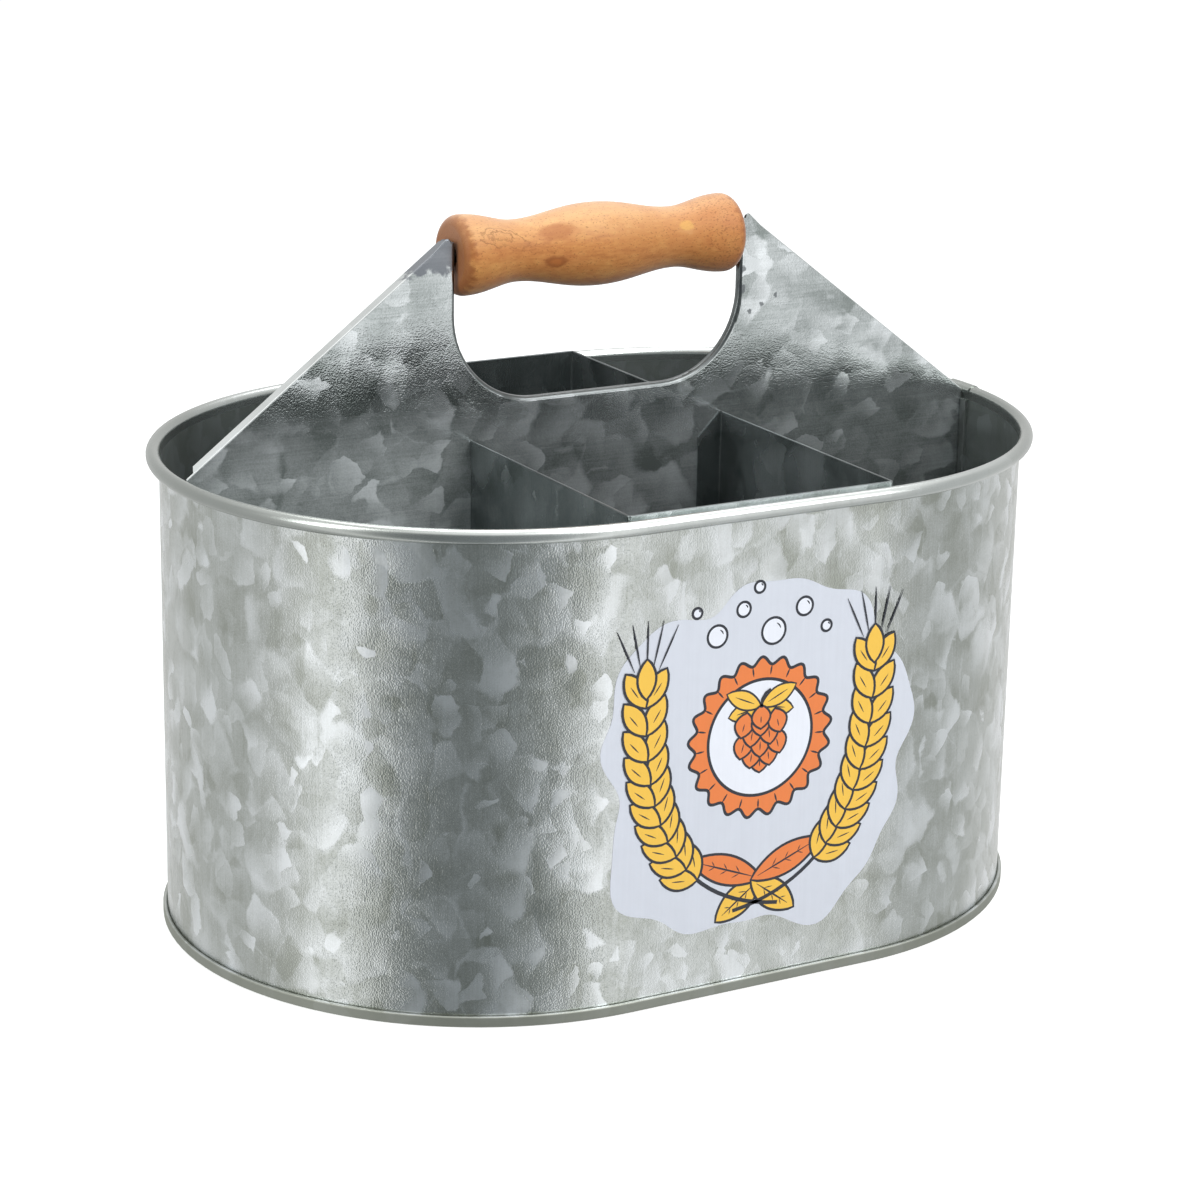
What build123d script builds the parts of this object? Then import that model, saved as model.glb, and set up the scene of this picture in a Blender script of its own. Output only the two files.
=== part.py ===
from build123d import *
import math
import os

# Galvanized bottle caddy: an oval tub with six compartments and a turned wooden grip.
# Millimetres, +Z up. The origin is the middle of the foot, on the surface that the caddy stands on.
# +X runs to the right along the tub, and -Y is the front.

# Sheet, wire and fits
tub_sheet = 0.5             # wall and base
panel_sheet = 0.6           # centre panel
divider_sheet = 0.5         # both dividers
weld_gap = 0.05             # left between sheets that are folded or welded together
grip_clearance = 0.08       # radial, between the grip's bore and its rod
past = 1.0                  # how far a cut or an overlap runs past what it meets
pick = 0.01                 # tolerance for picking edges by their place

# Oval tub: straight sides and half-round ends
tub_length = 318.0          # over the wall's outer face
tub_width = 223.6
end_radius = tub_width / 2
half_straight = tub_length / 2 - end_radius

# Curled rim
rim_height = 172.0
bead_radius = 2.5           # over the curled sheet
bead_z = rim_height - bead_radius
bead_out = bead_radius - tub_sheet      # bead's middle, outward from the wall's outer face
wire_radius = bead_radius - tub_sheet - weld_gap
curl_turn = 318.0           # degrees that the sheet goes round the wire

# Folded bottom seam: the base's edge goes round the wall's turned-out edge
floor_height = 3.5          # top of the floor
seam_height = 3.9
sheet_bend = 0.45           # bend radius at the middle of the tub's sheet
layer = tub_sheet + weld_gap
floor_inset = 5.0           # the flat floor ends this far inside the wall's outer face

# Lock seam up the wall, at the right end
lock_front = -4.2           # Y of its front edge
lock_back = -0.7            # Y of its back edge, beside the centre panel
lock_thickness = 1.2        # inward from the wall's inner face
lock_round = 0.4
lock_bottom = floor_height + weld_gap
lock_top = bead_z - bead_radius
groove_front = -3.0         # Y of the joint line on the wall's outer face
groove_back = -2.6
groove_depth = 0.25
rim_lap_back = 9.0          # the rim's sheet is double from lock_front to here
rim_lap_sheet = 0.4
rim_lap_short = 45.0        # degrees that the lap stops short of the curl's free edge

# Centre panel
panel_half_length = 157.9
shoulder_top = 246.75       # where a shoulder's line meets its ear's inner edge
shoulder_slope = 0.753      # rise over run
ear_tip_radius = 1.5
ear_bulge = (66.0, 1.2)     # |X| where an ear's edge leaves that line, and its height over it at the tip
shoulder_flange = 4.0       # flange to the back along the slopes
flange_clip = 2.0           # the corner cut off each end of that flange
flange_low = 155.4          # |X| where the flange starts, near the wall
flange_high = 60.2          # |X| where it ends, near the ear's tip
opening_half_width = 57.4
opening_bottom = 186.3
opening_corner = 31.5
opening_lip = 2.0           # turned to the back round the hand opening
lip_round = 1.6             # outer radius of the bend into that lip
panel_bend = 0.5            # rounding of the slopes' front edges
end_flange = 10.0           # to the back, welded to the wall
end_flange_z = (14.0, 150.0)
foot_flange_x = (66.0, 106.0)
flange_corner = 5.0         # chamfer on the corners of these flanges

# Ear tabs, rod and grip
axis_y = 6.0
axis_z = 237.6
tab_depth = 12.0            # to the back of the panel
tab_z = (232.0, 243.3)
tab_corner = 5.0
rod_radius = 2.5
washer_radius = 4.7
washer_thickness = 1.0
head_radius = 4.5
head_height = 2.2
grip_half_length = 56.4
belly_radius = 14.7
waist_x = 31.6
waist_radius = 10.85
bulb_x = 52.4
bulb_radius = 14.1
end_face_radius = 10.5
countersink_radius = 5.0
countersink_depth = 3.0

# Dividers
divider_x = 51.6            # |X| of the legs' outer faces
divider_bottom = 4.5
divider_top = 173.1
divider_bend = 1.0          # at the middle of the sheet
divider_flange = 10.0       # inward, along the centre panel
hem_depth = 12.0
fold_outer_round = 0.45
fold_inner_round = 0.3
longest_cut_edge = 1.5      # edges across the sheet and its hem are no longer than this


def around(section):
    """Carries a section round the oval: its x is outward from the wall's outer face, its y is up."""
    path = SlotOverall(tub_length, tub_width).face().outer_wire()
    plane = Plane(origin=(0, -end_radius, 0), x_dir=(0, -1, 0), z_dir=(-1, 0, 0))
    return sweep(plane * section, path=path)


def round_end(section, front_y, back_y):
    """Turns a section through the part of the right end that lies between two values of Y."""
    start = math.asin(front_y / end_radius)
    turn = math.asin(back_y / end_radius) - start
    outward = (math.cos(start), math.sin(start), 0)
    middle = (half_straight, 0, 0)
    plane = Plane(
        origin=(half_straight + end_radius * outward[0], end_radius * outward[1], 0),
        x_dir=outward,
        z_dir=(outward[1], -outward[0], 0),
    )
    return revolve(plane * section, Axis(middle, (0, 0, 1)), math.degrees(turn))


def upright(face, front_y, back_y):
    """A plate between two values of Y, from a face drawn in X and Z."""
    plane = Plane(origin=(0, front_y, 0), x_dir=(1, 0, 0), z_dir=(0, -1, 0))
    return extrude(plane * face, amount=back_y - front_y, dir=(0, 1, 0))


def both_sides(solid):
    """A solid and its mirror image across the middle of the caddy's length."""
    return solid + mirror(solid, about=Plane.YZ)


def tub_wall():
    """One sheet: a curl over the rim's wire, the wall, and the edge turned out and up in the bottom seam."""
    with BuildSketch() as sheet:
        with BuildLine():
            curl = CenterArc((bead_out, bead_z), bead_radius - tub_sheet / 2, 180 - curl_turn, curl_turn)
            FilletPolyline(
                curl @ 1,
                (-tub_sheet / 2, layer + tub_sheet / 2),
                (2 * layer - tub_sheet / 2, layer + tub_sheet / 2),
                (2 * layer - tub_sheet / 2, seam_height - 2 * layer),
                radius=sheet_bend,
            )
        trace(line_width=tub_sheet)
    with BuildSketch() as lap:
        with BuildLine():
            lap_turn = curl_turn - rim_lap_short
            CenterArc((bead_out, bead_z), bead_radius + rim_lap_sheet / 2, 180 - lap_turn, lap_turn)
        trace(line_width=rim_lap_sheet)
    lock = Pos(-tub_sheet, lock_bottom) * Rectangle(
        lock_thickness, lock_top - lock_bottom, align=(Align.MAX, Align.MIN)
    )
    ridge = round_end(lock, lock_front, lock_back)
    ridge = fillet(ridge.edges().filter_by(Axis.Z).sort_by(Axis.X)[:2], lock_round)
    groove_section = Pos(0, seam_height + past) * Rectangle(
        2 * groove_depth, lock_top - seam_height - 2 * past, align=(Align.CENTER, Align.MIN)
    )
    groove = round_end(groove_section, groove_front, groove_back)
    return around(sheet.sketch) + round_end(lap.sketch, lock_front, rim_lap_back) + ridge - groove


def rim_wire():
    """The closed loop of wire that the rim is curled over."""
    return around(Pos(bead_out, bead_z) * Circle(wire_radius))


def tub_base():
    """The floor, with its edge turned down, out under the wall's edge, up round it and in behind it."""
    floor_line = floor_height - tub_sheet / 2
    inner_line = -tub_sheet - layer + tub_sheet / 2
    outer_line = 3 * layer - tub_sheet / 2
    hook_line = layer - tub_sheet / 2
    with BuildSketch() as sheet:
        with BuildLine():
            FilletPolyline(
                (-floor_inset - past, floor_line),
                (inner_line, floor_line),
                (inner_line, tub_sheet / 2),
                (outer_line, tub_sheet / 2),
                (outer_line, seam_height - tub_sheet / 2),
                (hook_line, seam_height - tub_sheet / 2),
                (hook_line, 2 * layer + sheet_bend / 2),
                radius=sheet_bend,
            )
        trace(line_width=tub_sheet)
    oval = SlotOverall(tub_length - 2 * floor_inset, tub_width - 2 * floor_inset)
    floor = extrude(Pos(0, 0, floor_height - tub_sheet) * oval, amount=tub_sheet)
    return around(sheet.sketch) + floor


def hand_opening(grow):
    """The outline of the opening under the grip, drawn past the top of the ears and grown on every side."""
    half_width = opening_half_width + grow
    bottom = opening_bottom - grow
    height = shoulder_top + past - bottom
    block = Pos(0, bottom) * Rectangle(2 * half_width, height, align=(Align.CENTER, Align.MIN))
    return fillet(block.vertices().group_by(Axis.Y)[0], opening_corner + grow)


def opening_lip_strip():
    """The sheet bent to the back round the hand opening, from the top of one ear tab down and up to the other."""
    start = (-opening_half_width, tab_z[1])
    with BuildLine(Plane.XZ) as path:
        FilletPolyline(
            start,
            (-opening_half_width, opening_bottom),
            (opening_half_width, opening_bottom),
            (opening_half_width, tab_z[1]),
            radius=opening_corner,
        )
    plane = Plane(origin=(start[0], 0, start[1]), x_dir=(-1, 0, 0), z_dir=(0, 0, -1))
    with BuildSketch(plane) as section:
        with BuildLine():
            FilletPolyline(
                (lip_round + past, 0),
                (panel_sheet / 2, 0),
                (panel_sheet / 2, panel_sheet / 2 + opening_lip),
                radius=lip_round - panel_sheet / 2,
            )
        trace(line_width=panel_sheet)
    return sweep(section.sketch, path=path.wire())


def shoulder_flange_strip():
    """The right shoulder's flange: a strip along the slope, folded to the back, with clipped ends."""
    run = flange_low - flange_high
    length = math.hypot(run, shoulder_slope * run)
    along = (-run / length, 0, shoulder_slope * run / length)
    low_z = shoulder_top - shoulder_slope * (flange_low - opening_half_width)
    plane = Plane(origin=(flange_low, 0, low_z), x_dir=along, z_dir=(-along[2], 0, along[0]))
    front = panel_sheet / 2
    deep = front + shoulder_flange
    outline = Polygon(
        (0, -front),
        (length, -front),
        (length, front),
        (length - flange_clip, deep),
        (flange_clip, deep),
        (0, front),
        align=None,
    )
    return extrude(plane * outline, amount=panel_sheet, dir=(-along[2], 0, along[0]))


def centre_panel():
    """One sheet down the middle: shoulders, ears, hand opening, and everything that is folded to the back."""
    front = panel_sheet / 2
    bottom = floor_height + weld_gap
    end_z = shoulder_top - shoulder_slope * (panel_half_length - opening_half_width)
    bulge_x, bulge_height = ear_bulge
    bulge_z = shoulder_top - shoulder_slope * (bulge_x - opening_half_width)
    fold_x = opening_half_width + lip_round
    tip_z = shoulder_top - shoulder_slope * lip_round + bulge_height
    right_side = [(panel_half_length, bottom), (panel_half_length, end_z), (bulge_x, bulge_z), (fold_x, tip_z)]
    left_side = [(-x, z) for x, z in reversed(right_side)]
    face = Polygon(*right_side, *left_side, align=None) - hand_opening(lip_round)
    ear_tips = face.vertices().group_by(Axis.Y)[-1]
    face = fillet(ear_tips, ear_tip_radius)
    panel = upright(face, -front, front) + opening_lip_strip()
    panel += both_sides(shoulder_flange_strip())

    tab_height = tab_z[1] - tab_z[0]
    tab_start = -front + lip_round
    tab = Pos(opening_half_width + panel_sheet / 2, tab_start, tab_z[0]) * Box(
        panel_sheet, front + tab_depth - tab_start, tab_height, align=(Align.CENTER, Align.MIN, Align.MIN)
    )
    tab = fillet(tab.edges().filter_by(Axis.X).group_by(Axis.Y)[-1], tab_corner)
    rod_hole = Pos(opening_half_width, axis_y, axis_z) * Rot(0, 90, 0) * Cylinder(
        rod_radius + weld_gap, 2 * (panel_sheet + past)
    )
    panel += both_sides(tab - rod_hole)

    end_height = end_flange_z[1] - end_flange_z[0]
    end = Pos(panel_half_length, -front, end_flange_z[0]) * Box(
        panel_sheet, end_flange + panel_sheet, end_height, align=(Align.MAX, Align.MIN, Align.MIN)
    )
    end = chamfer(end.edges().filter_by(Axis.X).group_by(Axis.Y)[-1], flange_corner)
    foot = Pos(foot_flange_x[0], -front, bottom) * Box(
        foot_flange_x[1] - foot_flange_x[0],
        end_flange + panel_sheet,
        panel_sheet,
        align=(Align.MIN, Align.MIN, Align.MIN),
    )
    foot = chamfer(foot.edges().filter_by(Axis.Z).group_by(Axis.Y)[-1], flange_corner)
    panel += both_sides(end) + both_sides(foot)

    # The front is round along both slopes and over the ear tips
    folded = [
        edge
        for edge in panel.edges()
        if edge.bounding_box().max.Y < -front + pick
        and edge.bounding_box().max.Z > tab_z[0] + pick
        and abs(edge.center().X) > fold_x + pick
    ]
    return fillet(folded, panel_bend)


def divider():
    """The front divider: a U of sheet with a hemmed top and flanges against the centre panel."""
    leg = divider_x - divider_sheet / 2
    panel_side = -panel_sheet / 2 - weld_gap - divider_sheet / 2
    wall_side = -end_radius + tub_sheet + 2 * weld_gap + divider_sheet / 2
    flange_end = divider_x - divider_flange
    with BuildSketch() as plan:
        with BuildLine():
            FilletPolyline(
                (-flange_end, panel_side),
                (-leg, panel_side),
                (-leg, wall_side),
                (leg, wall_side),
                (leg, panel_side),
                (flange_end, panel_side),
                radius=divider_bend,
            )
        trace(line_width=divider_sheet)
    sheet = Pos(0, 0, divider_bottom) * extrude(plan.sketch, amount=divider_top - divider_bottom)

    # Each flange's top is cut at 45 degrees, from the leg down to its free edge
    corner = leg - divider_bend
    free_edge = flange_end - past
    wedge = Polygon(
        (corner, divider_top + past),
        (corner, divider_top),
        (free_edge, divider_top - (corner - free_edge)),
        (free_edge, divider_top + past),
        align=None,
    )
    sheet -= both_sides(upright(wedge, panel_side - divider_bend / 2, 0))

    # The hem is the top edge folded down inside the middle compartment, with mitred ends
    inner = leg - divider_sheet / 2
    web_face = wall_side + divider_sheet / 2
    web_hem = Polygon(
        (-inner, divider_top),
        (inner, divider_top),
        (inner - hem_depth, divider_top - hem_depth),
        (hem_depth - inner, divider_top - hem_depth),
        align=None,
    )
    sheet += upright(web_hem, web_face, web_face + divider_sheet)
    hem_start = panel_side - divider_bend
    leg_plane = Plane(origin=(inner, 0, 0), x_dir=(0, 1, 0), z_dir=(1, 0, 0))
    leg_hem = Polygon(
        (web_face, divider_top),
        (hem_start, divider_top),
        (hem_start - hem_depth, divider_top - hem_depth),
        (web_face + hem_depth, divider_top - hem_depth),
        align=None,
    )
    sheet += both_sides(extrude(leg_plane * leg_hem, amount=divider_sheet, dir=(-1, 0, 0)))

    # The fold is round, on its outer side and then on its inner side. Edges across the sheet stay sharp
    for outer_side, radius in ((True, fold_outer_round), (False, fold_inner_round)):
        fold = []
        for edge in sheet.edges():
            middle = edge @ 0.5
            on_top = edge.bounding_box().min.Z > divider_top - pick
            is_outer = abs(middle.X) > inner + pick or middle.Y < web_face - pick
            if on_top and edge.length > longest_cut_edge and is_outer == outer_side:
                fold.append(edge)
        sheet = fillet(fold, radius)
    return sheet


def wood_grip():
    """The turned grip: belly, waists and end bulbs, bored for the rod and countersunk at both ends."""
    bore = rod_radius + grip_clearance
    with BuildSketch() as profile:
        with BuildLine():
            Spline(
                (0, belly_radius),
                (waist_x, waist_radius),
                (bulb_x, bulb_radius),
                tangents=[(1, 0), (1, 0), (1, 0)],
            )
            EllipticalCenterArc(
                (bulb_x, end_face_radius),
                grip_half_length - bulb_x,
                bulb_radius - end_face_radius,
                start_angle=0,
                arc_size=90,
            )
            Polyline(
                (grip_half_length, end_face_radius),
                (grip_half_length, countersink_radius),
                (grip_half_length - countersink_depth, bore),
                (0, bore),
            )
            mirror(about=Plane.YZ)
        make_face()
    return Pos(0, axis_y, axis_z) * revolve(profile.sketch, Axis.X)


def grip_rod():
    """The rod through both ear tabs and the grip, with a domed head at each end."""
    shank = opening_half_width + panel_sheet + washer_thickness
    with BuildSketch() as profile:
        with BuildLine():
            Polyline((0, 0), (0, rod_radius), (shank, rod_radius), (shank, head_radius))
            EllipticalCenterArc((shank, 0), head_height, head_radius, start_angle=0, arc_size=90)
            Line((shank + head_height, 0), (0, 0))
        make_face()
    return Pos(0, axis_y, axis_z) * both_sides(revolve(profile.sketch, Axis.X))


def rod_washers():
    """Two washers, outside the ear tabs and under the rod's heads."""
    middle = opening_half_width + panel_sheet + washer_thickness / 2
    ring = Circle(washer_radius) - Circle(rod_radius + weld_gap)
    washer = Rot(0, 90, 0) * extrude(ring, amount=washer_thickness / 2, both=True)
    return both_sides(Pos(middle, axis_y, axis_z) * washer)


front_divider = divider()
pieces = {
    "tub_wall": tub_wall(),
    "tub_base": tub_base(),
    "rim_wire": rim_wire(),
    "centre_panel": centre_panel(),
    "front_divider": front_divider,
    "back_divider": Rot(0, 0, 180) * front_divider,
    "wood_grip": wood_grip(),
    "grip_rod": grip_rod(),
    "rod_washers": rod_washers(),
}

os.makedirs("parts", exist_ok=True)
for name, piece in pieces.items():
    export_step(piece, f"parts/{name}.step")
    print(name, round(piece.volume, 1), "mm3")
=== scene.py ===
import math

import bmesh
import bpy
from mathutils import Matrix, Vector


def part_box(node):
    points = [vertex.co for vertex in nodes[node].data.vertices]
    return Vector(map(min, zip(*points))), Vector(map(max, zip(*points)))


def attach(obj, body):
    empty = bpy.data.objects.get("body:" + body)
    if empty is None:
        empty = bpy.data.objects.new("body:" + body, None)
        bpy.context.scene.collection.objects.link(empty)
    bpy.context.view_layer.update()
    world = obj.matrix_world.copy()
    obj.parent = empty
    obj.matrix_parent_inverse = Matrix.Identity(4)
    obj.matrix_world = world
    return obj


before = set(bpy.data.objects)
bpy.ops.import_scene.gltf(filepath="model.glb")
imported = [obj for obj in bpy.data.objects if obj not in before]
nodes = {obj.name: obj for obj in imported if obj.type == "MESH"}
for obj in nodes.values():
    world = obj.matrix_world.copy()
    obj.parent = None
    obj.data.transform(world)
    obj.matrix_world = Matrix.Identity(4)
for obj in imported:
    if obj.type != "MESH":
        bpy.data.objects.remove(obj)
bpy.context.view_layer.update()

MM = 0.001

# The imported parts: the foot's seam stands this far out of the wall's outer face, and the wall is an oval
SEAM_OUT = 1.65 * MM
base_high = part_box("tub_base")[1]
END_RADIUS = base_high.y - SEAM_OUT
HALF_STRAIGHT = base_high.x - SEAM_OUT - END_RADIUS
RIM_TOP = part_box("tub_wall")[1].z
FOOT_HEIGHT = base_high.z
WALL_MIDDLE = END_RADIUS - 0.25 * MM
HEM_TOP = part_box("front_divider")[1].z
PANEL_FRONT = -0.3 * MM
# |X| that parts the hand opening's lip from the slopes' flanges, and how far back the lip reaches
LIP_END = 61 * MM
LIP_BACK = 2.5 * MM
grip_low, grip_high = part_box("wood_grip")
GRIP_AXIS = (grip_low + grip_high) / 2
GRIP_HALF = (grip_high.x - grip_low.x) / 2

# Camera, fitted to the photograph
PHOTO_PX = 1200
SENSOR = 36.0
FOCAL_PX = 3354.8
VIEW_AZIMUTH = math.radians(-29.82)
VIEW_ELEVATION = math.radians(16.78)
VIEW_ROLL = math.radians(1.04)
VIEW_DISTANCE = 1215.4 * MM
VIEW_TARGET = Vector((2.11, 0, 107.72)) * MM


def direction(azimuth, elevation):
    """The way from the caddy to that azimuth and elevation. Azimuth 0 is -Y, and 90 degrees is +X."""
    level = math.cos(elevation)
    return Vector((math.sin(azimuth) * level, -math.cos(azimuth) * level, math.sin(elevation)))


def add_camera():
    back = direction(VIEW_AZIMUTH, VIEW_ELEVATION)
    right = (-back).cross(Vector((0, 0, 1))).normalized()
    up = back.cross(right)
    turned_right = math.cos(VIEW_ROLL) * right + math.sin(VIEW_ROLL) * up
    turned_up = math.cos(VIEW_ROLL) * up - math.sin(VIEW_ROLL) * right
    data = bpy.data.cameras.new("camera")
    data.sensor_width = SENSOR
    data.lens = FOCAL_PX / PHOTO_PX * SENSOR
    data.clip_start = 0.05
    camera = bpy.data.objects.new("camera", data)
    bpy.context.scene.collection.objects.link(camera)
    axes = Matrix((turned_right, turned_up, back)).transposed().to_4x4()
    camera.matrix_world = Matrix.Translation(VIEW_TARGET + back * VIEW_DISTANCE) @ axes
    bpy.context.scene.camera = camera


class Graph:
    """A node tree, with short calls for the nodes that the materials here are made of."""

    def __init__(self, tree):
        self.tree = tree
        tree.nodes.clear()

    def node(self, kind, inputs=None, **settings):
        made = self.tree.nodes.new(kind)
        for name, value in settings.items():
            setattr(made, name, value)
        for socket, value in (inputs or {}).items():
            if isinstance(value, bpy.types.NodeSocket):
                self.tree.links.new(value, made.inputs[socket])
            else:
                made.inputs[socket].default_value = value
        return made

    def math(self, operation, a, b=0.0, c=0.0, clamp=False):
        made = self.node("ShaderNodeMath", {0: a, 1: b, 2: c}, operation=operation, use_clamp=clamp)
        return made.outputs[0]

    def vector(self, operation, a, b=(0, 0, 0), scale=1.0):
        inputs = {0: a, "Scale": scale} if operation == "SCALE" else {0: a}
        if operation not in ("SCALE", "LENGTH", "NORMALIZE"):
            inputs[1] = b
        made = self.node("ShaderNodeVectorMath", inputs, operation=operation)
        return made.outputs["Value" if operation in ("DOT_PRODUCT", "LENGTH", "DISTANCE") else "Vector"]

    def split(self, vector):
        return self.node("ShaderNodeSeparateXYZ", {0: vector}).outputs

    def join(self, x, y, z):
        return self.node("ShaderNodeCombineXYZ", {0: x, 1: y, 2: z}).outputs[0]

    def steps(self, value, low, high, start=0.0, end=1.0):
        """Goes smoothly from start to end as the value goes from low to high."""
        inputs = {"Value": value, "From Min": low, "From Max": high, "To Min": start, "To Max": end}
        return self.node("ShaderNodeMapRange", inputs, interpolation_type="SMOOTHSTEP").outputs[0]

    def mix(self, share, a, b):
        return self.node("ShaderNodeMix", {0: share, 2: a, 3: b}, data_type="FLOAT").outputs[0]

    def blend(self, share, a, b):
        return self.node("ShaderNodeMix", {0: share, 6: a, 7: b}, data_type="RGBA").outputs[2]

    def stain(self, colour, share, tint):
        """The colour with that share of a tint, which is written as on screen."""
        return self.blend(share, colour, (*linear(tint), 1))

    def ramp(self, value, stops, interpolation="LINEAR"):
        made = self.node("ShaderNodeValToRGB", {0: value})
        line = made.color_ramp
        line.interpolation = interpolation
        while len(line.elements) < len(stops):
            line.elements.new(1.0)
        for element, (position, colour) in zip(line.elements, stops):
            element.position = position
            element.color = (*colour, 1) if isinstance(colour, tuple) else (colour, colour, colour, 1)
        return made.outputs[0]

    def noise(self, vector, scale, detail=2.0, roughness=0.5, output="Fac"):
        inputs = {"Vector": vector, "Scale": scale, "Detail": detail, "Roughness": roughness}
        return self.node("ShaderNodeTexNoise", inputs).outputs[output]

    def grain(self, vector, scales, detail, roughness=0.5):
        """Noise that has a scale of its own along each axis."""
        return self.noise(self.vector("MULTIPLY", vector, scales), 1.0, detail, roughness)

    def shifts(self, vector, scale, detail):
        """A small step at each place, any way at random."""
        return self.vector("SUBTRACT", self.noise(vector, scale, detail, output="Color"), (0.5, 0.5, 0.5))

    def uneven(self, value, noise, depth):
        """The value, with the noise added up to half of depth either way."""
        return self.math("MULTIPLY_ADD", self.math("SUBTRACT", noise, 0.5), depth, value)

    def cells(self, vector, size, softness):
        """Crystals of that size in metres: each one's random colour, and the place from its seed."""
        inputs = {"Vector": vector, "Scale": 1 / size, "Smoothness": softness}
        made = self.node("ShaderNodeTexVoronoi", inputs, feature="SMOOTH_F1")
        colour = made.outputs["Color"]
        within = self.vector("SUBTRACT", vector, made.outputs["Position"])
        return colour, self.vector("SCALE", within, scale=1 / size)

    def place(self):
        return self.node("ShaderNodeTexCoord").outputs["Object"]

    def facing(self):
        return self.node("ShaderNodeNewGeometry").outputs["Normal"]

    def bump(self, height, depth, normal=None, strength=1.0):
        """A relief that is depth metres high where the height goes from 0 to 1."""
        inputs = {"Height": height, "Distance": depth, "Strength": strength}
        if normal is not None:
            inputs["Normal"] = normal
        return self.node("ShaderNodeBump", inputs).outputs[0]

    def surface(self, **inputs):
        named = {name.replace("_", " "): value for name, value in inputs.items()}
        shader = self.node("ShaderNodeBsdfPrincipled", named)
        self.node("ShaderNodeOutputMaterial", {0: shader.outputs[0]})


def new_material(name):
    material = bpy.data.materials.new(name)
    material.use_nodes = True
    return material, Graph(material.node_tree)


def linear(hex_code):
    """A colour written as on screen, in the renderer's linear values."""
    parts = [int(hex_code[i : i + 2], 16) / 255 for i in (0, 2, 4)]
    return tuple(v / 12.92 if v < 0.04045 else ((v + 0.055) / 1.055) ** 2.4 for v in parts)


# What the studio looks like from the caddy: a level for each azimuth in degrees, low over the floor
STUDIO = (
    (-180, 0.85),
    (-150, 0.85),
    (-125, 0.8),
    (-100, 0.85),
    (-86, 1.5),
    (-75, 1.6),
    (-66, 0.8),
    (-57, 0.38),
    (-45, 0.29),
    (-25, 0.29),
    (-5, 0.42),
    (8, 0.75),
    (17, 1.6),
    (27, 1.3),
    (45, 0.75),
    (75, 0.78),
    (115, 0.95),
    (150, 0.9),
    (180, 0.85),
)
STUDIO_PEAK = 1.6
OVERHEAD = 1.5
# What matt surfaces get from all round
AMBIENT = 0.55
# The dim side of the studio is bluish, and white stays white
STUDIO_TINTS = ((0.25, (0.92, 1.0, 1.03)), (0.9, (1.0, 1.0, 0.99)), (0.95, (1.0, 1.0, 1.0)))


def add_world():
    """White to the camera. Metal sees a white studio with two bright strips and a dim camera side."""
    world = bpy.data.worlds.new("studio")
    bpy.context.scene.world = world
    world.use_nodes = True
    world.cycles.sampling_method = "NONE"
    graph = Graph(world.node_tree)
    way = graph.node("ShaderNodeTexCoord").outputs["Generated"]
    x, y, z = graph.split(way)
    azimuth = graph.math("ARCTAN2", x, graph.math("MULTIPLY", y, -1.0))
    turn = graph.math("MULTIPLY_ADD", azimuth, 1 / math.tau, 0.5)
    stops = [(degrees / 360 + 0.5, level / STUDIO_PEAK) for degrees, level in STUDIO]
    round_about = graph.math("MULTIPLY", graph.ramp(turn, stops, "EASE"), STUDIO_PEAK)
    seen = graph.mix(graph.steps(z, 0.5, 0.9), round_about, OVERHEAD)
    rays = graph.node("ShaderNodeLightPath").outputs
    mirrored = graph.math("ADD", rays["Is Glossy Ray"], rays["Is Transmission Ray"], clamp=True)
    level = graph.mix(rays["Is Camera Ray"], graph.mix(mirrored, AMBIENT, seen), 1.0)
    tint = graph.blend(rays["Is Camera Ray"], graph.ramp(level, STUDIO_TINTS), (1, 1, 1, 1))
    background = graph.node("ShaderNodeBackground", {"Color": tint, "Strength": level})
    graph.node("ShaderNodeOutputWorld", {0: background.outputs[0]})


# Name, azimuth and elevation in degrees, distance, width and height in metres, and watts
LAMPS = (
    ("key", 24, 42, 1.6, 0.7, 1.1, 14.0),
    ("left_strip", -82, 30, 1.5, 0.4, 1.1, 7.0),
    ("overhead", 150, 70, 1.5, 1.2, 1.0, 10.0),
)


def add_lamp(name, azimuth, elevation, distance, width, height, power):
    data = bpy.data.lights.new(name, "AREA")
    data.shape = "RECTANGLE"
    data.size = width
    data.size_y = height
    data.energy = power
    lamp = bpy.data.objects.new(name, data)
    bpy.context.scene.collection.objects.link(lamp)
    way = direction(math.radians(azimuth), math.radians(elevation))
    lamp.location = VIEW_TARGET + way * distance
    lamp.rotation_mode = "QUATERNION"
    lamp.rotation_quaternion = way.to_track_quat("Z", "Y")
    lamp.visible_camera = False


FLOOR_REACH = 3.0
FLOOR_DROP = 0.2 * MM
# What the camera sees over the floor's own light, which makes it white in the open
FLOOR_GLOW = 0.62


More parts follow.
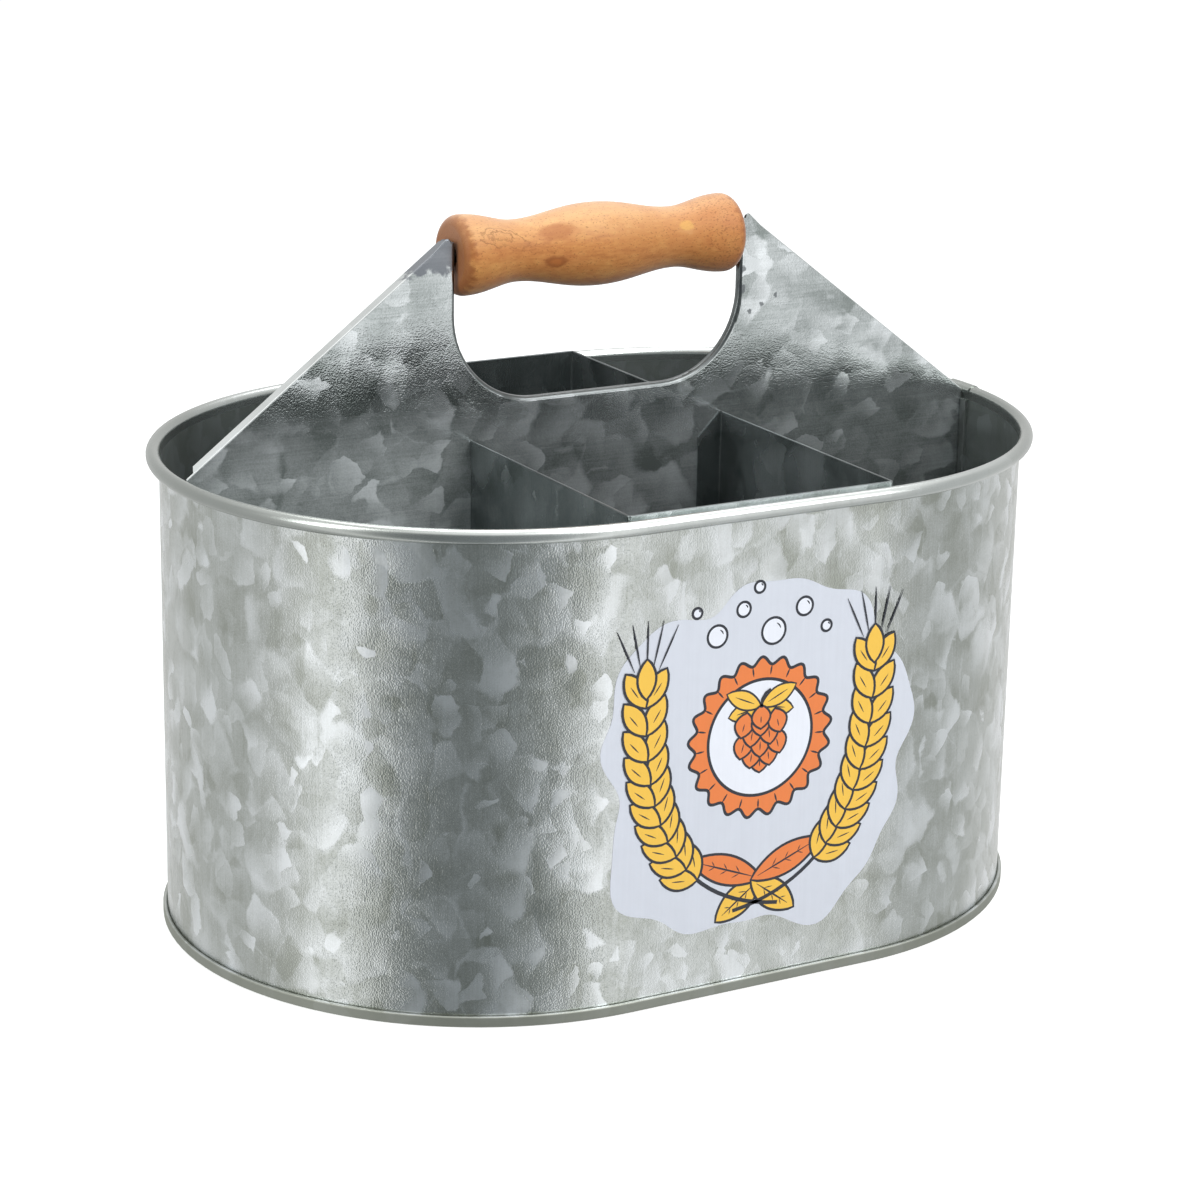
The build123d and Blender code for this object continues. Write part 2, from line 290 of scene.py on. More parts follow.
def add_floor():
    """A plain pale floor, white in the open and grey in the caddy's shadow."""
    corners = [(x * FLOOR_REACH, y * FLOOR_REACH, 0) for x, y in ((-1, -1), (1, -1), (1, 1), (-1, 1))]
    mesh = bpy.data.meshes.new("floor")
    mesh.from_pydata(corners, [], [(0, 1, 2, 3)])
    floor = bpy.data.objects.new("floor", mesh)
    floor.location.z = -FLOOR_DROP
    floor.visible_glossy = False
    bpy.context.scene.collection.objects.link(floor)
    material, graph = new_material("floor")
    grain = graph.noise(graph.place(), 40.0)
    colour = graph.ramp(grain, ((0.3, 0.72), (0.7, 0.75)))
    matte = graph.node("ShaderNodeBsdfDiffuse", {"Color": colour})
    glow = graph.node("ShaderNodeEmission", {"Color": (1, 1, 1, 1), "Strength": FLOOR_GLOW})
    both = graph.node("ShaderNodeAddShader", {0: matte.outputs[0], 1: glow.outputs[0]})
    rays = graph.node("ShaderNodeLightPath").outputs
    shown = graph.node(
        "ShaderNodeMixShader", {0: rays["Is Camera Ray"], 1: matte.outputs[0], 2: both.outputs[0]}
    )
    graph.node("ShaderNodeOutputMaterial", {0: shown.outputs[0]})
    mesh.materials.append(material)


# Depth of the rolling lines
LINE_DEPTH = 0.008 * MM


def flakes(graph, place, size, stretch, offset, share, softness):
    """Zinc crystals: how much each shows, which fades out to one side, and the way each leans."""
    at = graph.vector("ADD", graph.vector("MULTIPLY", place, stretch), offset)
    seed, within = graph.cells(at, size, softness)
    way = graph.vector("SUBTRACT", seed, (0.5, 0.5, 0.5))
    fade = graph.steps(graph.vector("DOT_PRODUCT", graph.vector("NORMALIZE", way), within), -0.4, 0.55)
    level = graph.steps(graph.split(seed)[0], 1.0 - share, 1.0)
    shown = graph.math("MULTIPLY", fade, level)
    return shown, graph.vector("SCALE", way, scale=fade)


# Size against the material's crystals, offset, the share of them that shows, and how soft their edges are
CRYSTAL_LAYERS = (
    (1.5, (0.3, 0.1, 0.7), 0.95, 0.4),
    (1.1, (0.7, 0.5, 0.2), 0.7, 0.25),
    (0.8, (0.1, 0.9, 0.4), 0.5, 0.12),
)
# The same for crystals that darken the sheet
DARK_LAYER = (1.1, (0.5, 0.3, 0.9), 0.6, 0.3)


def crystals(graph, place, size, stretch):
    """All the layers: how much they show, the way they lean, and how much the dark ones show."""
    times, *how = DARK_LAYER
    shade, _ = flakes(graph, place, times * size, stretch, *how)
    shown, lean = None, None
    for times, *how in CRYSTAL_LAYERS:
        layer, layer_lean = flakes(graph, place, times * size, stretch, *how)
        shown = layer if shown is None else graph.math("MAXIMUM", shown, layer)
        lean = layer_lean if lean is None else graph.vector("ADD", lean, layer_lean)
    return shown, lean, shade


def galvanized(
    name, lines, size, stretch, dark, light, gloss, slope, streaky, pebbly, places, dull, bow=None
):
    """Zinc: soft-edged crystals that overlap and lean their own ways, fine pebbles, and rolling lines.

    Lines is the axis of the rolling lines, size is the crystals' size in metres, gloss is the roughness
    beside them and on them, slope is how far they lean, streaky is the lines' share in the colour, and pebbly
    is the pebbles' depth in millimetres. Each of the places gives a mask, the colour that the sheet takes
    there, the share of it, how calm the crystals are there, and the roughness. Dull gives how matt the sheet
    is, and bow the way that it leans."""
    material, graph = new_material(name)
    place = graph.place()
    wide = graph.vector("SCALE", graph.shifts(place, 90, 2.0), scale=0.6 * size)
    fine = graph.vector("SCALE", graph.shifts(place, 420, 2.0), scale=0.13 * size)
    bent = graph.vector("ADD", graph.vector("ADD", place, wide), fine)
    shown, lean, shade = crystals(graph, bent, size, stretch)

    along = {"X": (0.03, 1, 1), "Z": (1, 1, 0.03)}[lines]
    streaks = graph.noise(graph.vector("MULTIPLY", place, along), 1700, 2.0)
    pebbles = graph.noise(place, 2100, 0.0)
    cloud = graph.noise(bent, 60, 3.0)
    grey = graph.math("MULTIPLY_ADD", shown, 0.75, 0.25)
    grey = graph.math("MULTIPLY_ADD", shade, -0.3, grey)
    for noise, amount in ((cloud, 0.8), (streaks, streaky), (pebbles, 0.3)):
        grey = graph.uneven(grey, noise, amount)
    colour = graph.ramp(grey, ((0.0, linear(dark)), (1.0, linear(light))))

    lively = 1.0
    rough = graph.mix(shown, *gloss)
    for shape, tint, share, calm, own_rough in places:
        mask = shape(graph, place)
        rough = graph.mix(mask, rough, own_rough)
        colour = graph.stain(colour, graph.math("MULTIPLY", mask, share), tint)
        lively = graph.math("MULTIPLY", graph.math("MULTIPLY_ADD", mask, -calm, 1.0), lively)
    lean = graph.vector("SCALE", lean, scale=graph.math("MULTIPLY", lively, slope))
    normal = graph.vector("ADD", graph.facing(), lean)
    if bow:
        normal = graph.vector("ADD", normal, bow(graph, place))
    normal = graph.vector("NORMALIZE", normal)
    strength = graph.math("MULTIPLY", graph.steps(shown, 0.8, 0.4, 0.2, 1.0), lively)
    normal = graph.bump(pebbles, pebbly * MM, normal, strength)
    normal = graph.bump(streaks, LINE_DEPTH, normal)
    metal = graph.math("SUBTRACT", 1.0, dull(graph, place))
    graph.surface(Base_Color=colour, Metallic=metal, Roughness=rough, Normal=normal)
    return material


def on_rim(graph, place):
    """1 on the rolled rim, down to the wall."""
    return graph.steps(graph.split(place)[2], RIM_TOP - 5.4 * MM, RIM_TOP - 4.8 * MM)


def painted_shade_rim_ends(graph, place):
    """1 on the rim round the two ends, and 0 along the straight sides. There the rim's darker colour is a
    painted shade.
    """
    far_out = graph.steps(graph.math("ABSOLUTE", graph.split(place)[0]), 95 * MM, 130 * MM)
    return graph.math("MULTIPLY", on_rim(graph, place), far_out)


def painted_shade_foot(graph, place):
    """1 on the seam round the foot, whose darker colour is a painted shade."""
    return graph.steps(graph.split(place)[2], FOOT_HEIGHT + 0.2 * MM, FOOT_HEIGHT - 0.4 * MM)


def inside_tub(graph, place):
    """1 on the wall's inner face and 0 on its outer face, by the distance to the oval's middle line."""
    x, y, _ = graph.split(place)
    along = graph.math("MAXIMUM", graph.math("SUBTRACT", graph.math("ABSOLUTE", x), HALF_STRAIGHT), 0.0)
    reach = graph.vector("LENGTH", graph.join(along, y, 0.0))
    return graph.math("LESS_THAN", reach, WALL_MIDDLE)


def folded_back(graph, place):
    """1 on the centre panel's folds and what they lead to, which face neither the front nor the back."""
    return graph.steps(graph.math("ABSOLUTE", graph.split(graph.facing())[1]), 0.995, 0.95)


def painted_highlight_flange(graph, place):
    """1 on the flanges along the two slopes, whose lighter colour is a painted highlight."""
    x, _, z = graph.split(place)
    outside = graph.math("GREATER_THAN", graph.math("ABSOLUTE", x), LIP_END)
    over_rim = graph.math("GREATER_THAN", z, RIM_TOP - 5 * MM)
    return graph.math("MULTIPLY", folded_back(graph, place), graph.math("MULTIPLY", outside, over_rim))


def painted_shade_lip(graph, place):
    """1 on the rounded lip of the hand opening, whose darker colour is a painted shade."""
    x, y, _ = graph.split(place)
    inside = graph.math("LESS_THAN", graph.math("ABSOLUTE", x), LIP_END)
    shallow = graph.math("LESS_THAN", y, LIP_BACK)
    return graph.math("MULTIPLY", folded_back(graph, place), graph.math("MULTIPLY", inside, shallow))


def on_hem_top(graph, place):
    """1 on the dividers' folded top edge."""
    return graph.steps(graph.split(place)[2], HEM_TOP - 0.5 * MM, HEM_TOP - 0.1 * MM)


def dull_panel(graph, place):
    """The centre panel is duller below the rim, most of all at its left end."""
    x, _, z = graph.split(place)
    left_end = graph.steps(x, -20 * MM, -90 * MM, 0.28, 0.75)
    return graph.math("MULTIPLY", graph.steps(z, RIM_TOP + 32 * MM, RIM_TOP - 12 * MM), left_end)


def dull_inside(graph, place):
    """The inside of the wall is a little dull, and less so towards the right end."""
    right_end = graph.steps(graph.split(place)[0], -40 * MM, 120 * MM, 0.12, 0.04)
    return graph.math("MULTIPLY", inside_tub(graph, place), right_end)


def dull_divider(graph, place):
    """The dividers are slightly dull, in patches."""
    return graph.math("MULTIPLY_ADD", graph.noise(place, 40), 0.06, 0.01)


def panel_bow(graph, place):
    """The left half of the centre panel leans forward a little, and the whole sheet is slightly uneven."""
    lean = graph.steps(graph.split(place)[0], 40 * MM, -50 * MM, 0.0, -0.018)
    waves = graph.vector("SCALE", graph.shifts(place, 26, 3.0), scale=0.04)
    return graph.vector("ADD", waves, graph.join(0.0, 0.0, lean))


def on_smudge(graph, place):
    """A dark stain at the left ear's tip, with a ragged lower edge."""
    x, _, z = graph.split(place)
    ragged = graph.math("MULTIPLY_ADD", graph.noise(place, 260, 3.0), 12 * MM, z)
    low = graph.steps(ragged, GRIP_AXIS.z + 1 * MM, GRIP_AXIS.z + 3 * MM)
    return graph.math("MULTIPLY", low, graph.math("LESS_THAN", x, 0.0))


# X, Z and radius of each, in millimetres
SPECKS = (
    (58.8, 224.8, 1.5),
    (58.2, 217.5, 2.2),
    (67.0, 211.0, 1.2),
    (73.0, 214.0, 1.0),
    (62.0, 209.0, 1.1),
)


def on_specks(graph, place):
    """Small dark marks on the right ear, beside the hand opening."""
    at = graph.vector("ADD", place, graph.vector("SCALE", graph.shifts(place, 500, 2.0), scale=3 * MM))
    mask = 0.0
    for x, z, radius in SPECKS:
        away = graph.vector("DISTANCE", at, (x * MM, PANEL_FRONT, z * MM))
        mask = graph.math("MAXIMUM", graph.steps(away, radius * MM, 0.6 * radius * MM), mask)
    return mask


# Level of the grain, and colour
WOOD_TONES = ((0.32, "a4602a"), (0.46, "c27e40"), (0.58, "d0934f"), (0.7, "dcaa6c"))
# Place from the grip's middle in millimetres, how much the way along it counts, radius, colour and strength
WOOD_SPOTS = (
    ((-21.3, -12.3, -3.0), 0.6, 3.0, "8f4c1a", 0.8),
    ((-21.3, -12.3, -3.0), 0.6, 1.9, "b4692c", 0.8),
    ((-20.5, -10.0, 7.8), 0.5, 4.2, "a25a28", 0.55),
    ((32.8, -9.3, 5.4), 0.7, 2.4, "e0ac58", 0.6),
)
# The eye-shaped figure: its place, how much the way along the grip counts, and how far apart its rings are
FIGURE_PLACE = (-43.0, -9.8, 6.6)
FIGURE_STRETCH = 0.4
FIGURE_RING = 1.6 * MM


def away_from(graph, place, spot, stretch):
    """The distance to a spot given in millimetres. It counts less along X, by the stretch."""
    away = graph.vector("SUBTRACT", place, tuple(v * MM for v in spot))
    return graph.vector("LENGTH", graph.vector("MULTIPLY", away, (stretch, 1, 1)))


def turned_wood():
    """Orange-yellow hardwood: mottled fibres, fine dark pores, an eye-shaped figure, knots, dark ends, and a
    painted highlight along its top.
    """
    material, graph = new_material("turned_wood")
    place = graph.vector("SUBTRACT", graph.place(), tuple(GRIP_AXIS))
    x, _, z = graph.split(place)
    fibres = graph.grain(place, (170, 1100, 1100), 3.0, 0.6)
    mottle = graph.grain(place, (260, 420, 420), 3.0, 0.6)
    bands = graph.grain(place, (22, 190, 190), 2.0)
    blush = graph.grain(place, (45, 75, 75), 2.0)
    pores = graph.grain(place, (1200, 1800, 1800), 1.0)

    shade = graph.mix(0.45, graph.mix(0.5, fibres, mottle), graph.mix(0.5, bands, blush))
    wood = graph.ramp(shade, [(at, linear(tone)) for at, tone in WOOD_TONES])
    right_end = graph.steps(x, 25 * MM, 50 * MM)
    # A painted highlight: the grip's top is paler, where the light from above falls
    wood = graph.stain(wood, graph.steps(z, 2 * MM, 13 * MM, 0.0, 0.4), "f0cc9c")
    ruddy = graph.math("MULTIPLY", graph.steps(blush, 0.42, 0.62), 0.35)
    wood = graph.stain(wood, graph.math("MULTIPLY_ADD", right_end, 0.3, ruddy), "b8703a")
    dense = graph.math("MULTIPLY_ADD", right_end, -0.07, 0.63)
    dark_pores = graph.steps(graph.math("SUBTRACT", pores, dense), 0.0, 0.06)
    wood = graph.stain(wood, graph.math("MULTIPLY", dark_pores, 0.45), "7d4518")
    for spot, stretch, radius, tint, strength in WOOD_SPOTS:
        away = graph.uneven(away_from(graph, place, spot, stretch), mottle, 2 * MM)
        share = graph.steps(away, radius * MM, 0.55 * radius * MM, 0.0, strength)
        wood = graph.stain(wood, share, tint)

    away = graph.uneven(away_from(graph, place, FIGURE_PLACE, FIGURE_STRETCH), blush, 9 * MM)
    away = graph.uneven(away, mottle, 4 * MM)
    wave = graph.math("SINE", graph.math("MULTIPLY", away, math.tau / FIGURE_RING))
    near = graph.steps(away, 5.4 * MM, 3.6 * MM, 0.0, 0.6)
    broken = graph.math("MULTIPLY", near, graph.steps(bands, 0.4, 0.55, 0.35, 1.0))
    wood = graph.stain(wood, graph.math("MULTIPLY", graph.steps(wave, 0.3, 0.97), broken), "84501f")

    from_end = graph.math("SUBTRACT", GRIP_HALF, graph.math("ABSOLUTE", x))
    from_end = graph.uneven(from_end, mottle, 7 * MM)
    wood = graph.stain(wood, graph.steps(from_end, 4.5 * MM, 1.0 * MM, 0.0, 0.7), "8a4c20")
    graph.surface(
        Base_Color=wood,
        Roughness=graph.mix(fibres, 0.5, 0.62),
        Specular_IOR_Level=0.4,
        Sheen_Weight=0.5,
        Sheen_Roughness=0.4,
        Normal=graph.bump(graph.mix(0.5, fibres, pores), 0.08 * MM),
    )
    return material


def drawn_steel():
    """The rod, its washers and the rim's wire: dull zinc with drawing lines along X."""
    material, graph = new_material("drawn_steel")
    place = graph.place()
    lines = graph.grain(place, (60, 2500, 2500), 2.0)
    spots = graph.noise(place, 380, 3.0)
    colour = graph.ramp(graph.mix(0.5, lines, spots), ((0.3, linear("74777a")), (0.7, linear("b2b5b4"))))
    normal = graph.bump(lines, 0.01 * MM)
    graph.surface(Base_Color=colour, Metallic=1.0, Roughness=graph.mix(spots, 0.3, 0.5), Normal=normal)
    return material


def ink(name, colour):
    """Screen-print ink on the wall: slightly uneven, over the sheet's upright rolling lines."""
    material, graph = new_material(name)
    place = graph.place()
    streaks = graph.noise(graph.vector("MULTIPLY", place, (1, 1, 0.03)), 900, 2.0)
    patches = graph.noise(place, 160, 3.0)
    level = graph.math("MULTIPLY_ADD", graph.mix(0.5, streaks, patches), 0.14, 0.93)
    tint = graph.vector("SCALE", colour, scale=level)
    normal = graph.bump(streaks, LINE_DEPTH)
    graph.surface(Base_Color=tint, Roughness=graph.mix(patches, 0.32, 0.45), Normal=normal)
    return material


# The print is drawn flat, in millimetres: s goes round the wall from the middle of the front, and z is up
PRINT_INKS = {
    "print_ground": linear("d0d4de"),
    "print_yellow": linear("f0c048"),
    "print_orange": linear("e67e3e"),
    "print_white": linear("e6e9f2"),
    "print_lines": linear("20242e"),
}
# How far the ground is off the wall, and each layer off the one below
GROUND_LIFT = 0.04
LAYER_LIFT = 0.005
# The flat shapes are cut into slices this wide before they bend round the wall, and no cut is at the middle
SLICE = 3.0
CUT_OFFSET = 0.37


class Print:
    """Collects flat shapes for each ink, with their layer as Y, and then lays them on the wall."""

    def __init__(self):
        self.shapes = {name: bmesh.new() for name in PRINT_INKS}
        self.layer = 0

    def fill(self, ink_name, outline):
        mesh = self.shapes[ink_name]
        corners = [mesh.verts.new((s, self.layer, z)) for s, z in outline]
        face = mesh.faces.new(corners)
        face.normal_update()
        bmesh.ops.triangulate(mesh, faces=[face], ngon_method="EAR_CLIP")

    def stroke(self, points, width, closed=False, tapered=False):
        """A line of that width through the points. A tapered one is thin at both ends."""
        mesh = self.shapes["print_lines"]
        count = len(points)
        sides = []
        for i, (s, z) in enumerate(points):
            before = points[i - 1] if closed or i else points[i]
            after = points[(i + 1) % count] if closed or i + 1 < count else points[i]
            along = Vector((after[0] - before[0], after[1] - before[1])).normalized()
            half = width / 2
            if tapered:
                half *= 0.25 + 0.75 * math.sin(math.pi * i / (count - 1)) ** 0.6
            across = Vector((-along.y, along.x)) * half
            ends = [(s + way * across.x, self.layer, z + way * across.y) for way in (1, -1)]
            sides.append([mesh.verts.new(end) for end in ends])
        for i in range(count if closed else count - 1):
            a, b = sides[i], sides[(i + 1) % count]
            mesh.faces.new((a[0], b[0], b[1], a[1]))

    def outlined(self, ink_name, outline, width):
        """A filled shape over what's there, with its outline one layer up."""
        self.layer += 1
        self.fill(ink_name, outline)
        self.layer += 1
        self.stroke(outline, width, closed=True)

    def lay(self):
        made = []
        cuts = int(END_RADIUS / MM / SLICE)
        for name, colour in PRINT_INKS.items():
            mesh = self.shapes[name]
            for i in range(-cuts, cuts + 1):
                geometry = mesh.verts[:] + mesh.edges[:] + mesh.faces[:]
                cut = ((i + CUT_OFFSET) * SLICE, 0, 0)
                bmesh.ops.bisect_plane(mesh, geom=geometry, plane_co=cut, plane_no=(1, 0, 0))
            for vertex in mesh.verts:
                vertex.co = on_wall(vertex.co.x, vertex.co.z, GROUND_LIFT + LAYER_LIFT * vertex.co.y)
            bmesh.ops.recalc_face_normals(mesh, faces=mesh.faces[:])
            data = bpy.data.meshes.new(name)
            mesh.to_mesh(data)
            mesh.free()
            data.materials.append(ink(name, colour))
            piece = bpy.data.objects.new(name, data)
            bpy.context.scene.collection.objects.link(piece)
            made.append(piece)
        return made


def on_wall(s, z, lift):
    """Where a point of the flat design is on the wall, that many millimetres off its outer face."""
    radius = END_RADIUS + lift * MM
    straight = HALF_STRAIGHT / MM
    turn = max(abs(s) - straight, 0) * MM / END_RADIUS
    side = math.copysign(1, s)
    level = min(abs(s), straight) * MM
    return Vector((side * (level + radius * math.sin(turn)), -radius * math.cos(turn), z * MM))


def petal(base, angle, length, width, points=9):
    """A pointed leaf shape that starts at base and runs at that angle from upright."""
    along = (math.sin(angle), math.cos(angle))
    outline = []
    for side in (1, -1):
        for i in range(points):
            t = i / points if side == 1 else 1 - i / points
            out = side * width / 2 * math.sin(math.pi * t) ** 0.75
            s = base[0] + along[0] * length * t + along[1] * out
            z = base[1] + along[1] * length * t - along[0] * out
            outline.append((s, z))
    return outline


def circle(centre, radius, points, ripple=0.0, lobes=1):
    """A round outline, with a ripple for the crimped edge of a crown cap."""
    outline = []
    for i in range(points):
        angle = math.tau * i / points
        reach = radius + ripple * math.cos(lobes * angle)
        outline.append((centre[0] + reach * math.sin(angle), centre[1] + reach * math.cos(angle)))
    return outline


def curve(start, bend, end, t):
    """The point and the angle from upright at t, on a curve from start to end that is drawn towards bend."""
    point = [(1 - t) ** 2 * a + 2 * t * (1 - t) * b + t * t * c for a, b, c in zip(start, bend, end)]
    way = [(1 - t) * (b - a) + t * (c - b) for a, b, c in zip(start, bend, end)]
    return point, math.atan2(*way)


def ray(base, angle, near, far, count=4):
    """Points on a straight line that starts at base and runs at that angle from upright, from near to far."""
    reaches = [near + (far - near) * i / (count - 1) for i in range(count)]
    return [(base[0] + math.sin(angle) * reach, base[1] + math.cos(angle) * reach) for reach in reaches]


PRINT_CENTRE = (1.0, 82.0)
PRINT_HALF = (59.0, 60.0)
CAP_CENTRE = (1.0, 90.0)
CAP_RADIUS = 27.0
CAP_LOBES = 21
CAP_RIPPLE = 1.4
RING = 6.5
# How far in from the cap's radius the lines of its folds start and end
FOLDS = (5.0, 1.6)
# Height of the scales' tops over the cap's middle, their number and their length, from the bottom row up
HOP_ROWS = ((-4.0, 1, 8.5), (-1.5, 2, 9.0), (2.5, 3, 9.5), (6.5, 2, 9.5), (9.5, 3, 9.0), (11.5, 1, 8.5))
SCALE_WIDTH = 7.4
SCALE_SPACING = 5.4
SCALE_TURN = 0.05
# The hop's leaves start this high over the cap's middle, with these angles from upright and lengths
HOP_LEAF_HEIGHT = 11.0
HOP_LEAVES = ((1.75, 13.0), (1.15, 15.0))
HOP_LEAF_WIDTH = 6.5
HOP_STALK = ((0.0, 10.5), (0.3, 13.5), (1.6, 15.5), (3.6, 16.6))
# The right ear's stem: across from the cap's middle, and height, of its start, bend and end
STEM = ((-9.0, 29.0), (46.0, 36.0), (45.0, 110.0))
KERNEL_PAIRS = 10
KERNEL_LEAN = 0.55
# Length and width of a kernel, and of the one at the tip
KERNEL = (15.0, 7.6)
TIP_KERNEL = (14.0, 7.2)
# How the bristles lean, and how far from the stem's tip they start and end
BRISTLES = (-0.44, -0.22, 0.0, 0.22, 0.44)
BRISTLE_REACH = (11.0, 27.0)
# Where the right side's leaves start, across from the cap's middle and in height
LEAF_BASE = (-2.0, 39.0)
# Angle from upright, length and ink
LEAVES = ((2.2, 22.0, "print_yellow"), (1.2, 30.0, "print_orange"))
LEAF_WIDTH = 10.5
# Where along a leaf its side veins start
VEINS = (0.3, 0.48, 0.66)
# Depth, number and turn of the lobes round the pale ground
GROUND_LOBES = ((0.05, 5, 0.6), (0.035, 9, 2.0), (0.02, 15, 4.0))

# Widths of the lines
STEM_LINE = 1.4
LINE = 1.1
LEAF_LINE = 0.95
BUBBLE_LINE = 0.9
SCALE_LINE = 0.8
THIN_LINE = 0.7
FINE_LINE = 0.5
VEIN_LINE = 0.45


def draw_ground(design):
    """A pale splash with soft lobes behind the whole design."""
    outline = []
    for i in range(180):
        angle = math.tau * i / 180
        lobes = sum(depth * math.sin(count * angle + turn) for depth, count, turn in GROUND_LOBES)
        reach = 1 + 0.1 * math.sin(2 * angle) ** 2 + lobes
        s = PRINT_CENTRE[0] + PRINT_HALF[0] * math.sin(angle) * reach
        z = PRINT_CENTRE[1] + PRINT_HALF[1] * math.cos(angle) * reach
        outline.append((s, z))
    design.fill("print_ground", outline)


def draw_cap(design):
    """A crown cap seen from above, with a hop cone and its two leaves in the middle."""
    s, z = CAP_CENTRE
    edge = circle(CAP_CENTRE, CAP_RADIUS, 12 * CAP_LOBES, CAP_RIPPLE, CAP_LOBES)
    design.outlined("print_orange", edge, LINE)
    for i in range(CAP_LOBES):
        near, far = [CAP_RADIUS - inward for inward in FOLDS]
        fold = ray(CAP_CENTRE, math.tau * (i + 0.5) / CAP_LOBES, near, far)
        design.stroke(fold, THIN_LINE, tapered=True)
    design.outlined("print_white", circle(CAP_CENTRE, CAP_RADIUS - RING, 72), LINE)
    base = (s, z + HOP_LEAF_HEIGHT)
    for side in (-1, 1):
        for lean, length in HOP_LEAVES:
            design.outlined("print_yellow", petal(base, side * lean, length, HOP_LEAF_WIDTH), THIN_LINE)
            design.stroke(ray(base, side * lean, 3.0, 0.75 * length), FINE_LINE, tapered=True)
    for height, count, length in HOP_ROWS:
        for i in range(count):
            across = (i - (count - 1) / 2) * SCALE_SPACING
            top = (s + across, z + height)
            angle = math.pi - across * SCALE_TURN
            design.outlined("print_orange", petal(top, angle, length, SCALE_WIDTH), SCALE_LINE)
            design.stroke(ray(top, angle, 4.0, 0.75 * length), VEIN_LINE, tapered=True)
    design.stroke([(s + across, z + height) for across, height in HOP_STALK], LINE)


def draw_ear(design, side):
    """An ear of barley that bends up round the cap, with its kernels in pairs and long bristles."""
    stem = [(CAP_CENTRE[0] + side * across, height) for across, height in STEM]
    design.stroke([curve(*stem, t / 24)[0] for t in range(15)], STEM_LINE)
    for i in range(KERNEL_PAIRS):
        point, angle = curve(*stem, 0.36 + 0.62 * i / (KERNEL_PAIRS - 1))
        for lean in (KERNEL_LEAN, -KERNEL_LEAN):
            design.outlined("print_yellow", petal(point, angle + lean, *KERNEL), LEAF_LINE)
            design.stroke(ray(point, angle + lean * 1.15, 5.0, 10.0), FINE_LINE, tapered=True)
    tip, angle = curve(*stem, 1.0)
    for lean in BRISTLES:
        design.stroke(ray(tip, angle + lean, *BRISTLE_REACH), THIN_LINE, tapered=True)
    design.outlined("print_yellow", petal(tip, angle, *TIP_KERNEL), LEAF_LINE)


def draw_leaves(design):
    """Two leaves that spread where the stems cross."""
    for side in (-1, 1):
        base = (CAP_CENTRE[0] + side * LEAF_BASE[0], LEAF_BASE[1])
        for angle, length, ink_name in LEAVES:
            design.outlined(ink_name, petal(base, side * angle, length, LEAF_WIDTH, 14), LEAF_LINE)
            design.stroke(ray(base, side * angle, 3.0, 0.85 * length), THIN_LINE, tapered=True)
            for part in VEINS:
                vein = ray(base, side * angle, 0.0, part * length, 2)[1]
                for lean in (-0.7, 0.7):
                    twig = ray(vein, side * angle + lean, 0.3, 4.2 - 2.5 * part, 3)
                    design.stroke(twig, VEIN_LINE, tapered=True)


# The way round the wall from the middle of the front, height and radius of each
BUBBLES = (
    (-17, 128, 3.8),
    (-7, 136, 2.6),
    (5, 127, 4.6),
    (17, 134, 3.2),
    (-1, 143, 2.0),
    (-25, 137, 1.8),
    (26, 126, 2.0),
)


def draw_bubbles(design):
    for s, z, radius in BUBBLES:
        design.outlined("print_white", circle((s, z), radius, 32), BUBBLE_LINE)
        design.stroke(circle((s, z), radius * 0.6, 32)[2:8], FINE_LINE, tapered=True)


def add_print():
    """What doesn't overlap shares its layers, so that the print stays thin."""
    design = Print()
    draw_ground(design)
    draw_leaves(design)
    leaves = design.layer
    for side in (-1, 1):
        design.layer = leaves
        draw_ear(design, side)
    for draw in (draw_cap, draw_bubbles):
        design.layer = 0
        draw(design)
    for piece in design.lay():
        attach(piece, "caddy")


def dress(node, material):
    """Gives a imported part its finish, in the slot it came with."""
    nodes[node].material_slots[0].material = material


add_camera()
add_world()
add_floor()
for lamp in LAMPS:
    add_lamp(*lamp)

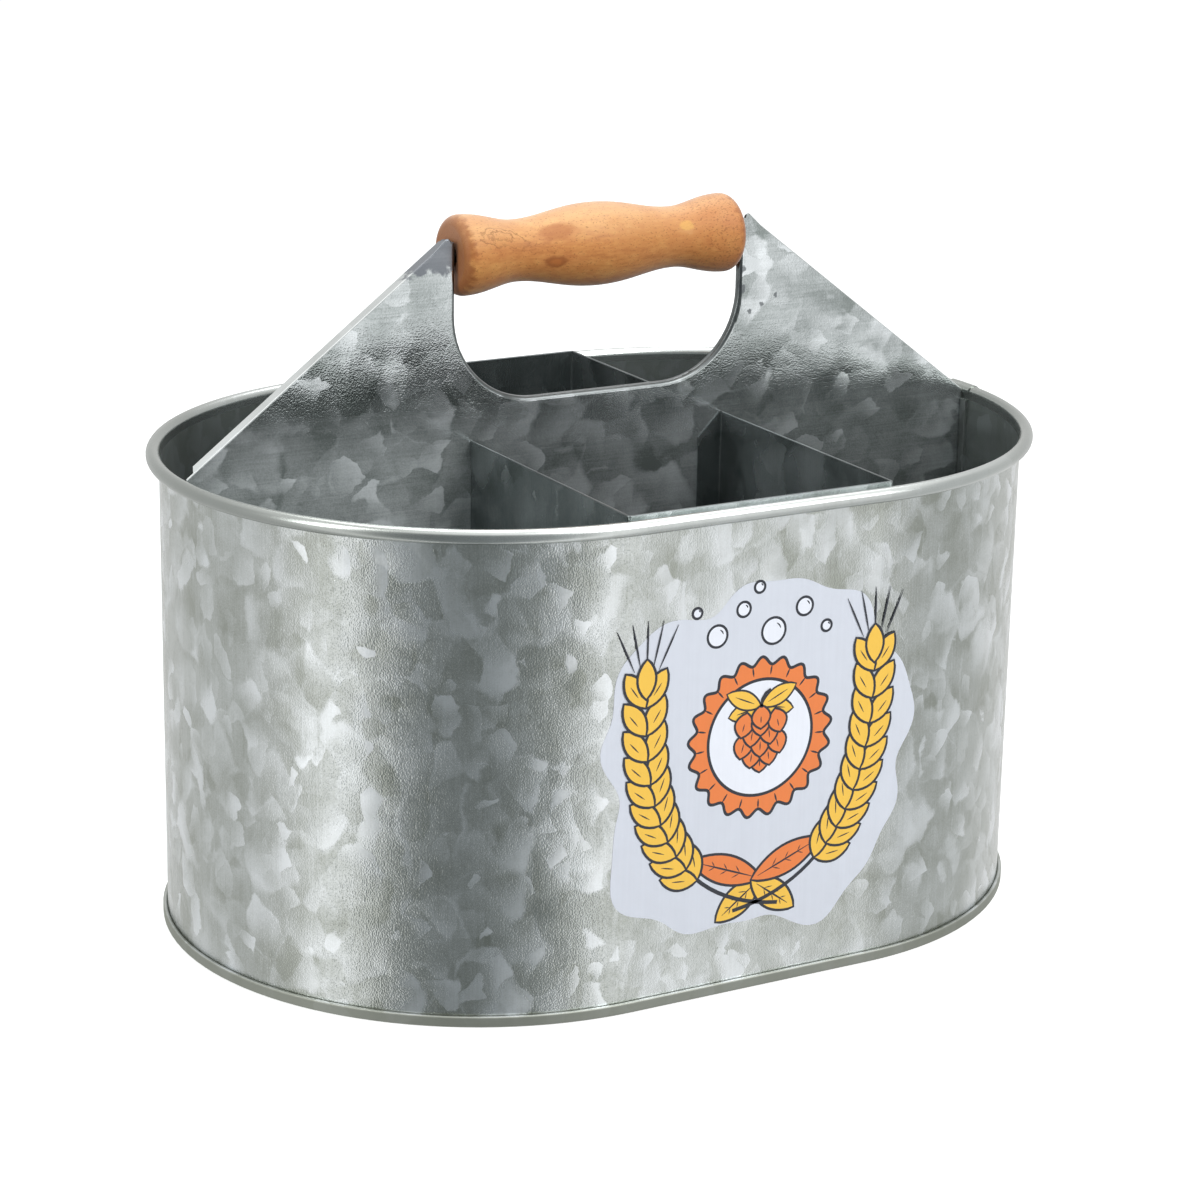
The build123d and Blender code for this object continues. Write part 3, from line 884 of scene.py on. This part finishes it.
# Where, colour, its share, how calm, and roughness
WALL_PLACES = (
    (inside_tub, "a9b0ad", 0.6, 0.6, 0.3),
    (on_rim, "bcc0be", 0.85, 1.0, 0.25),
    # The rim's two ends are painted darker: painted shade
    (painted_shade_rim_ends, "959995", 0.85, 1.0, 0.25),
    # The foot's seam is painted darker: painted shade
    (painted_shade_foot, "8c8f86", 0.9, 1.0, 0.6),
)
PANEL_PLACES = (
    # The slopes' flanges are painted lighter: a painted highlight
    (painted_highlight_flange, "dde0df", 0.8, 1.0, 0.25),
    # The hand opening's lip is painted darker: painted shade
    (painted_shade_lip, "5c6060", 0.9, 1.0, 0.3),
    (on_smudge, "6c7078", 0.8, 0.6, 0.35),
    (on_specks, "63676a", 0.8, 0.5, 0.3),
)
DIVIDER_PLACES = ((on_hem_top, "5c6162", 0.9, 1.0, 0.35),)

wall_zinc = galvanized(
    "wall_zinc",
    lines="Z",
    size=10 * MM,
    stretch=(1, 1, 0.8),
    dark="9b9f98",
    light="dadee0",
    gloss=(0.22, 0.3),
    slope=0.065,
    streaky=0.3,
    pebbly=0.1,
    places=WALL_PLACES,
    dull=dull_inside,
)
panel_zinc = galvanized(
    "panel_zinc",
    lines="X",
    size=12 * MM,
    stretch=(0.8, 1, 1),
    dark="848b89",
    light="e2e7e9",
    gloss=(0.15, 0.22),
    slope=0.07,
    streaky=0.35,
    pebbly=0.045,
    places=PANEL_PLACES,
    dull=dull_panel,
    bow=panel_bow,
)
divider_zinc = galvanized(
    "divider_zinc",
    lines="Z",
    size=13 * MM,
    stretch=(1, 1, 0.8),
    dark="7c8483",
    light="bcc2c3",
    gloss=(0.25, 0.3),
    slope=0.03,
    streaky=0.3,
    pebbly=0.045,
    places=DIVIDER_PLACES,
    dull=dull_divider,
)
steel = drawn_steel()
for node in ("tub_wall", "tub_base"):
    dress(node, wall_zinc)
dress("centre_panel", panel_zinc)
for node in ("front_divider", "back_divider"):
    dress(node, divider_zinc)
for node in ("rim_wire", "grip_rod", "rod_washers"):
    dress(node, steel)
dress("wood_grip", turned_wood())
add_print()

bpy.context.scene.view_settings.view_transform = "Standard"
